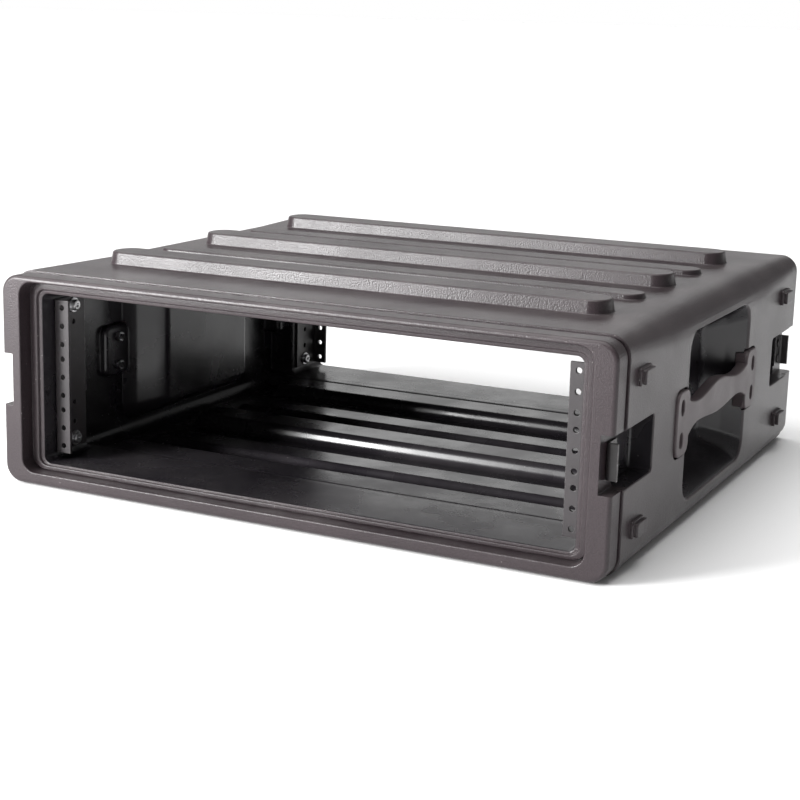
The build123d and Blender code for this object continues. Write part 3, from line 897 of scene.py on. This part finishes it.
def case_plastic(finish):
    """Pebble-grained moulded polyethylene with a little dust, painted shade in the grain's hollows, and edges
    painted lighter, partly as rubbed wear and partly as a painted highlight.
    """
    material, tree, shader = start_material("Shell Plastic")
    base = finish.case_colour
    grain = use_group(tree, pebble_grain(), Pebbles_per_Metre=850.0, Tooth=0.35)
    wear = use_group(tree, edge_wear(), Radius=0.0005, Amount=0.7, Breaks_per_Metre=110.0)
    dust = use_group(tree, settled_dust(), Film=0.10, Specks=0.5)
    # Painted shade: the grain's hollows are darkened in colour.
    shaded_hollows = calculate(tree, "MULTIPLY", grain.outputs["Hollows"], 0.5)
    tone = mix_colours(tree, shaded_hollows, mottled(tree, base, 7.0, 0.88, 1.12), scaled(base, 0.6))
    # The lighter edge colour is partly rubbed wear and partly a painted highlight along the edges.
    finish_colour(tree, shader, tone, wear, finish.case_worn_and_highlight, dust, finish.dust_colour)
    dusty = calculate(tree, "MULTIPLY", dust.outputs["Mask"], 0.3)
    rubbed = calculate(tree, "MULTIPLY", wear.outputs["Mask"], 0.08)
    rough = calculate(tree, "ADD", cloudy(tree, 11.0, 0.30, 0.37), dusty)
    rough = calculate(tree, "SUBTRACT", rough, rubbed)
    tree.links.new(rough, shader.inputs["Roughness"])
    shader.inputs["Specular IOR Level"].default_value = 0.38
    finish_surface(tree, shader, wear, grain.outputs["Height"], 0.5, 0.0003)
    return material


def inside_plastic_and_shade(finish):
    """Smooth, slightly wavy plastic of the moulding's inner side, painted darker as shade; it also covers the
    handle pockets and latch wells as painted shade.
    """
    material, tree, shader = start_material("Inside Plastic And Shade")
    base = finish.inside_and_shade_colour
    wear = use_group(tree, edge_wear(), Radius=0.0015, Amount=0.25, Breaks_per_Metre=60.0)
    dust = use_group(tree, settled_dust(), Film=0.05, Specks=0.35)
    tone = mottled(tree, base, 9.0, 0.8, 1.2)
    finish_colour(tree, shader, tone, wear, scaled(base, 3.0), dust, finish.dust_colour)
    tree.links.new(cloudy(tree, 18.0, 0.20, 0.32), shader.inputs["Roughness"])
    waves = texture(tree, "Noise", Scale=55.0, Detail=3.0, Roughness=0.5)
    finish_surface(tree, shader, wear, waves.outputs["Fac"], 0.14, 0.0005)
    return material


def handle_plastic(finish):
    """Finely textured nylon with polished edges."""
    material, tree, shader = start_material("Handle Nylon")
    base = finish.handle_colour
    grain = use_group(tree, pebble_grain(), Pebbles_per_Metre=1500.0, Tooth=0.5)
    wear = use_group(tree, edge_wear(), Radius=0.0008, Amount=0.45, Breaks_per_Metre=160.0)
    dust = use_group(tree, settled_dust(), Film=0.12, Specks=0.3)
    tone = mottled(tree, base, 16.0, 0.9, 1.1)
    finish_colour(tree, shader, tone, wear, scaled(base, 2.2), dust, finish.dust_colour)
    tree.links.new(cloudy(tree, 22.0, 0.38, 0.50), shader.inputs["Roughness"])
    finish_surface(tree, shader, wear, grain.outputs["Height"], 0.35, 0.0001)
    return material


def coated_steel(name, finish, base, peel, amount, gloss):
    """Painted steel: orange peel in the coat, and bare metal where its edges have rubbed."""
    material, tree, shader = start_material(name)
    wear = use_group(tree, edge_wear(), Radius=0.0007, Amount=amount, Breaks_per_Metre=260.0)
    dust = use_group(tree, settled_dust(), Film=0.10, Specks=0.3)
    tone = mottled(tree, base, 30.0, 0.85, 1.2)
    finish_colour(tree, shader, tone, wear, finish.steel_colour, dust, finish.dust_colour)
    tree.links.new(map_range(tree, wear.outputs["Mask"], 0.3, 0.6), shader.inputs["Metallic"])
    tree.links.new(cloudy(tree, 45.0, gloss - 0.04, gloss + 0.06), shader.inputs["Roughness"])
    ripple = texture(tree, "Noise", Scale=peel, Detail=2.0, Roughness=0.5)
    finish_surface(tree, shader, wear, ripple.outputs["Fac"], 0.25, 0.0001)
    return material


def rail_coat(finish):
    """Satin black powder coat on the rails."""
    return coated_steel("Rail Powder Coat", finish, finish.rail_colour, 900.0, 0.35, 0.38)


def keeper_coat(finish):
    """Black coat on the keepers and their rivets, rubbed bright on its edges."""
    return coated_steel("Keeper Coat", finish, finish.keeper_colour, 1300.0, 0.8, 0.34)


def screw_black(finish):
    """Dull black oxide on the sunk handle screws."""
    return coated_steel("Screw Black", finish, finish.screw_colour, 700.0, 0.05, 0.5)


def bare_metal(name, base, gloss, streaks):
    """Plated or turned metal with fine streaks and a slight stain."""
    material, tree, shader = start_material(name)
    wear = use_group(tree, edge_wear(), Radius=0.0004, Amount=0.5, Breaks_per_Metre=400.0)
    dust = use_group(tree, settled_dust(), Film=0.08, Specks=0.2)
    tone = mottled(tree, base, 90.0, 0.72, 1.1)
    finish_colour(tree, shader, tone, wear, scaled(base, 1.3), dust, scaled(base, 0.5))
    shader.inputs["Metallic"].default_value = 1.0
    tree.links.new(cloudy(tree, 150.0, gloss - 0.06, gloss + 0.1), shader.inputs["Roughness"])
    place = tree.nodes.new("ShaderNodeTexCoord").outputs["Object"]
    stretch = node(tree, "ShaderNodeMapping", Scale=(1.0, 1.0, 6.0))
    tree.links.new(place, stretch.inputs["Vector"])
    lines = node(tree, "ShaderNodeTexNoise", Scale=streaks, Detail=3.0, Roughness=0.6)
    tree.links.new(stretch.outputs["Vector"], lines.inputs["Vector"])
    finish_surface(tree, shader, wear, lines.outputs["Fac"], 0.2, 0.00005)
    return material


def zinc_plate(finish):
    """Bright zinc plate."""
    return bare_metal("Zinc Plate", finish.zinc_colour, 0.30, 900.0)


def turned_brass(finish):
    """Turned brass."""
    return bare_metal("Turned Brass", finish.brass_colour, 0.28, 1400.0)


def dress(piece, finishes, inside=None):
    """Give a piece both shell finishes, the inner one, painted darker as shade, on the faces that inside
    picks.
    """
    piece.data.materials.clear()
    for material in finishes:
        piece.data.materials.append(material)
    for face in piece.data.polygons:
        face.material_index = 1 if inside and inside(face) else 0
    return piece


class RACKCASE_OT_shell(Operator):
    """Model the moulded case shell with its rims, ribs, pockets and latch recesses"""

    bl_idname = "rackcase.shell"
    bl_label = "Case Shell"

    def execute(self, context):
        sizes, recess, grip = context.scene.rack_shell, context.scene.rack_recess, context.scene.rack_handle
        face = shell_high.x - sizes.bump_reach
        roof = shell_high.z - sizes.rib_height
        finish = context.scene.rack_finish
        finishes = (case_plastic(finish), inside_plastic_and_shade(finish))
        step_y = shell_high.y - sizes.ring_depth - 0.0005

        # The faces picked below take the darker inner finish, which is painted shade in the room, on its
        # backs, ridges and pads, and in the pockets and wells.
        def in_room(face_of):
            middle, edge = face_of.center, sizes.wall - 0.001
            return (
                abs(middle.y) < step_y and abs(middle.x) < face - edge and edge < middle.z < roof - edge
            )

        def lining(face_of):
            out = face_of.center - Vector((0.0, 0.0, roof / 2))
            return in_room(face_of) and face_of.normal.dot(out) < 0.0

        # Painted shade: the handle pockets and latch wells get the darker inner finish.
        def sunk(face_of):
            return abs(face_of.center.x) < face - 0.0016

        shell = dress(shell_body(sizes), finishes, lining)
        plinths, blocks = insert_bumps(sizes, recess, face)
        backs = recess_backs(sizes, recess, face)
        combine(shell, dress(joined(roof_ribs(sizes, roof) + plinths), finishes), "UNION")
        combine(shell, dress(joined(blocks), finishes), "UNION")
        combine(shell, dress(joined(backs), finishes, in_room), "UNION")
        combine(shell, dress(joined(floor_ridges(sizes)), finishes, in_room), "UNION")
        combine(shell, dress(screw_pads(sizes, recess, grip, face), finishes, in_room), "UNION")
        combine(shell, dress(joined(floor_grooves(sizes)), finishes), "DIFFERENCE")
        combine(shell, dress(side_recesses(recess, face), finishes, sunk), "DIFFERENCE")
        combine(shell, dress(notches_and_seats(recess, grip, face), finishes), "DIFFERENCE")
        smooth(shell, math.radians(32))
        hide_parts("case_shell")
        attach(shell, "root")
        return {"FINISHED"}


def eased(near, far, share):
    """Return the size at a share of the way, starting and ending level."""
    share = min(max(share, 0.0), 1.0)
    return near + (far - near) * share * share * (3 - 2 * share)


def grip_edges(grip, y):
    """Return the heights of the grip's lower and upper edges at a distance from its middle."""
    reach = abs(y)
    waist = grip.waist_place
    if reach < waist:
        share = reach / waist
        return -eased(grip.crown_low, grip.waist_low, share), eased(grip.crown_high, grip.waist_high, share)
    share = (reach - waist) / (grip.plate_inner - waist)
    share = share * share
    return (
        -shell_part(grip.waist_low, grip.end_low, share),
        shell_part(grip.waist_high, grip.end_high, share),
    )


def other_side(piece, name):
    """Copy a finished piece to the left side, with its own mesh turned the right way out."""
    pick(piece)
    bpy.ops.object.duplicate()
    other = bpy.context.object
    other.name = name
    other.data.name = name
    bpy.ops.object.mode_set(mode="EDIT")
    bpy.ops.mesh.select_all(action="SELECT")
    bpy.ops.transform.mirror(constraint_axis=(True, False, False), center_override=(0.0, 0.0, 0.0))
    bpy.ops.mesh.normals_make_consistent(inside=False)
    bpy.ops.object.mode_set(mode="OBJECT")
    bpy.ops.mesh.customdata_custom_splitnormals_clear()
    smooth(other, math.radians(35))
    return other


def screw_places(grip):
    """List the middles of a handle's four screws."""
    return [
        (handle_middle_y + end * grip.screw_y, rack_axis_z + level * grip.screw_level)
        for end in (-1, 1)
        for level in (-1, 1)
    ]


def sunk_screws(grip, face):
    """Model the four screws of the right handle, deep in their seats, and copy them to the left."""
    tip, shank, rim, crown, socket_half = 0.0020, 0.0025, 0.0040, 0.0033, 0.0015
    top, under, foot = face - 0.0024, face - grip.sink_depth, handle_screws_low.x
    profile = (
        (foot, tip), (foot + 0.0005, shank), (under, shank), (under + 0.00002, rim), (top - 0.0006, rim),
        (top, crown),
    )
    made = []
    for middle in screw_places(grip):
        stations = [
            Station(x, middle, (radius, radius), radius - SHORT, radius - SHORT) for x, radius in profile
        ]
        screw = stack("screw", "X", stations, segments=6)
        socket = side_block(
            "socket", top, top - 0.0012, middle, (socket_half, socket_half), 0.0002, 0.0, 0.0001
        )
        combine(screw, socket, "DIFFERENCE")
        made.append(screw)
    screws = joined(made)
    screws.name = "right_sunk_screws"
    screws.data.name = "right_sunk_screws"
    smooth(screws, math.radians(35))
    return screws, other_side(screws, "left_sunk_screws")


def grip_bar(grip, face):
    """Model the right handle's bar, waisted between its plates."""
    reach, steps, edge = grip.plate_inner + 0.004, 28, 0.0014
    half_depth = grip.bar_depth / 2
    stations = []
    for step in range(steps + 1):
        y = reach * (2 * step / steps - 1)
        low, high = grip_edges(grip, y)
        middle = (face - half_depth, rack_axis_z + (low + high) / 2)
        stations.append(Station(handle_middle_y + y, middle, (half_depth, (high - low) / 2), edge, edge))
    return stack("right_grip", "Y", stations, segments=3)


def grip_ends(grip, face):
    """Model the end plates, each with the foot that reaches into the pocket behind its inner edge."""
    half = ((grip.plate_outer - grip.plate_inner) / 2, grip.plate_half_height)
    foot_half = (0.0025, 0.024)
    made = []
    for end in (-1, 1):
        back = face - grip.plate_thickness + 0.003
        inner = (handle_middle_y + end * (grip.plate_inner + foot_half[0]), rack_axis_z)
        made += [
            side_block("plate", back, face, plate_middle(grip, end), half, grip.plate_corner, 0.0, 0.0012),
            side_block("foot", handle_low.x + 0.003, face - 0.002, inner, foot_half, 0.0006, 0.0, 0.0004),
        ]
    return made


def grip_cutters(grip, face):
    """Model the cutters for the sunk screw seats and the bores behind them."""
    seat_half = (grip.sink_half_width, grip.sink_half_height)
    bore, bore_corner = 0.0027, 0.0026
    made = []
    for place in screw_places(grip):
        made += [
            side_block(
                "sink", face, face - grip.sink_depth, place, seat_half, grip.sink_half_width - SHORT, 0.0006,
                0.0004,
            ),
            side_block("bore", face, handle_low.x, place, (bore, bore), bore_corner, 0.0, 0.0001),
        ]
    return made


class RACKCASE_OT_handles(Operator):
    """Model the two carry handles with their end plates and sunk screw seats"""

    bl_idname = "rackcase.handles"
    bl_label = "Handles"

    def execute(self, context):
        grip, colours = context.scene.rack_handle, context.scene.rack_finish
        face = handle_high.x
        bar = grip_bar(grip, face)
        for piece in grip_ends(grip, face):
            combine(bar, piece, "UNION")
        for cutter in grip_cutters(grip, face):
            combine(bar, cutter, "DIFFERENCE")
        smooth(bar, math.radians(35))
        grips = (bar, other_side(bar, "left_grip"))
        screws = sunk_screws(grip, face)
        for pieces, part, slot, finish in (
            (screws, "handle_screws", "black_fastener", screw_black(colours)),
            (grips, "handle", "handle_plastic", handle_plastic(colours)),
        ):
            for piece, side in zip(pieces, SIDES):
                piece.data.materials.clear()
                piece.data.materials.append(finish)
                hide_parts(f"{side}_{part}")
                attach(piece, "root")
        return {"FINISHED"}


def coat(node, material):
    """Give a frame piece its finish."""
    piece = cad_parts[node]
    piece.data.materials.clear()
    piece.data.materials.append(material)


class RACKCASE_OT_rails(Operator):
    """Finish the rack rails with their screws, washers and inserts"""

    bl_idname = "rackcase.rails"
    bl_label = "Rails and Fasteners"

    def execute(self, context):
        finish = context.scene.rack_finish
        rail, zinc, brass = rail_coat(finish), zinc_plate(finish), turned_brass(finish)
        for corner in CORNERS:
            coat(f"{corner}_rail", rail)
            coat(f"{corner}_rail_screws", zinc)
            coat(f"{corner}_rail_washers", zinc)
            coat(f"{corner}_rail_inserts", brass)
        for side in SIDES:
            coat(f"{side}_handle_nuts", zinc)
        return {"FINISHED"}


class RACKCASE_OT_keepers(Operator):
    """Finish the latch keepers with their rivets"""

    bl_idname = "rackcase.keepers"
    bl_label = "Latch Keepers"

    def execute(self, context):
        keeper = keeper_coat(context.scene.rack_finish)
        for corner in CORNERS:
            coat(f"{corner}_latch_keeper", keeper)
            coat(f"{corner}_keeper_rivets", keeper)
        return {"FINISHED"}


class RACKCASE_OT_studio(Operator):
    """Set up the pale floor, the soft lights and the camera"""

    bl_idname = "rackcase.studio"
    bl_label = "Studio"

    def execute(self, context):
        scene, studio = context.scene, context.scene.rack_studio
        deselect()
        bpy.ops.mesh.primitive_plane_add(size=studio.floor_size, location=(0, 0, 0))
        floor = context.object
        floor.name = "studio_floor"
        paper = bpy.data.materials.new("Studio Floor")
        paper.use_nodes = True
        shader = paper.node_tree.nodes["Principled BSDF"]
        shader.inputs["Base Color"].default_value = (*studio.floor_colour, 1)
        shader.inputs["Roughness"].default_value = 0.9
        shader.inputs["Specular IOR Level"].default_value = 0.1
        floor.data.materials.append(paper)

        world = bpy.data.worlds.new("Studio Surround")
        world.use_nodes = True
        surround = world.node_tree.nodes["Background"]
        surround.inputs["Color"].default_value = (1, 1, 1, 1)
        seen = world.node_tree.nodes.new("ShaderNodeLightPath").outputs["Is Camera Ray"]
        compass = world.node_tree.nodes.new("ShaderNodeSeparateXYZ")
        direction = world.node_tree.nodes.new("ShaderNodeTexCoord").outputs["Generated"]
        world.node_tree.links.new(direction, compass.inputs[0])
        low = map_range(world.node_tree, compass.outputs["Z"], 0.16, 0.24)
        high = map_range(world.node_tree, compass.outputs["Z"], 0.45, 0.35)
        behind = map_range(world.node_tree, compass.outputs["Y"], 0.3, 0.6)
        leftward = map_range(world.node_tree, compass.outputs["X"], 0.05, -0.15)
        wall = calculate(world.node_tree, "MULTIPLY", low, high)
        wall = calculate(world.node_tree, "MULTIPLY", wall, behind)
        wall = calculate(world.node_tree, "MULTIPLY", wall, leftward)
        wall = map_range(world.node_tree, wall, 0.0, 1.0, studio.surround, 1.5)
        strength = calculate(world.node_tree, "MAXIMUM", wall, seen)
        world.node_tree.links.new(strength, surround.inputs["Strength"])
        scene.world = world
        scene.view_settings.view_transform = "Standard"

        for kind, name, place, aim, power in (
            ("AREA", "Key Light", (-1.35, -1.9, 0.70), (0.0, -0.2, 0.08), studio.key_power),
            ("SUN", "Overhead Light", (-0.5, -0.3, 1.9), (0.0, 0.0, 0.0), studio.sky_power),
        ):
            turn = (Vector(place) - Vector(aim)).to_track_quat("Z", "Y").to_euler()
            bpy.ops.object.light_add(type=kind, location=place, rotation=turn)
            light = context.object
            light.name = name
            light.data.energy = power
            if kind == "AREA":
                light.data.shape = "SQUARE"
                light.data.size = 0.8
            else:
                light.data.angle = math.radians(70)

        turn = Euler((math.pi / 2 - studio.camera_dip, 0, studio.camera_turn)).to_matrix()
        turn = (turn @ Matrix.Rotation(studio.camera_roll, 3, "Z")).to_euler()
        place = (studio.camera_side, -studio.camera_distance, studio.camera_height)
        bpy.ops.object.camera_add(location=place, rotation=turn)
        camera = context.object
        camera.data.lens = studio.camera_lens
        camera.data.sensor_width = 36
        camera.data.shift_x = 0.0495
        camera.data.shift_y = -0.0125
        camera.data.clip_start = 0.01
        scene.camera = camera
        return {"FINISHED"}


class RACKCASE_PT_builder(Panel):
    """Steps and sizes of the rack case"""

    bl_idname = "RACKCASE_PT_builder"
    bl_label = "Rack Case"
    bl_space_type = "VIEW_3D"
    bl_region_type = "UI"
    bl_category = "Rack Case"

    def draw(self, context):
        layout = self.layout
        for step in STEPS:
            layout.operator(step.bl_idname, text=step.bl_label)
        for name, label in SETTINGS:
            box = layout.box()
            box.label(text=label)
            group = getattr(context.scene, name)
            for prop in group.bl_rna.properties:
                if prop.identifier not in {"rna_type", "name"}:
                    box.prop(group, prop.identifier)


STEPS = (
    RACKCASE_OT_shell, RACKCASE_OT_handles, RACKCASE_OT_rails, RACKCASE_OT_keepers, RACKCASE_OT_studio,
)
GROUPS = {
    "rack_shell": ShellSizes, "rack_recess": RecessSizes, "rack_handle": HandleSizes,
    "rack_finish": FinishSettings, "rack_studio": StudioSettings,
}
SETTINGS = (
    ("rack_shell", "Shell"), ("rack_recess", "Recesses"), ("rack_handle", "Handles"),
    ("rack_finish", "Finishes"), ("rack_studio", "Studio"),
)


def register():
    for group in GROUPS.values():
        bpy.utils.register_class(group)
    for step in STEPS:
        bpy.utils.register_class(step)
    bpy.utils.register_class(RACKCASE_PT_builder)
    for name, group in GROUPS.items():
        setattr(bpy.types.Scene, name, PointerProperty(type=group))


def unregister():
    for name in GROUPS:
        delattr(bpy.types.Scene, name)
    bpy.utils.unregister_class(RACKCASE_PT_builder)
    for step in reversed(STEPS):
        bpy.utils.unregister_class(step)
    for group in reversed(list(GROUPS.values())):
        bpy.utils.unregister_class(group)


def main():
    register()
    bpy.ops.rackcase.shell()
    bpy.ops.rackcase.handles()
    bpy.ops.rackcase.rails()
    bpy.ops.rackcase.keepers()
    bpy.ops.rackcase.studio()


if __name__ == "__main__":
    main()
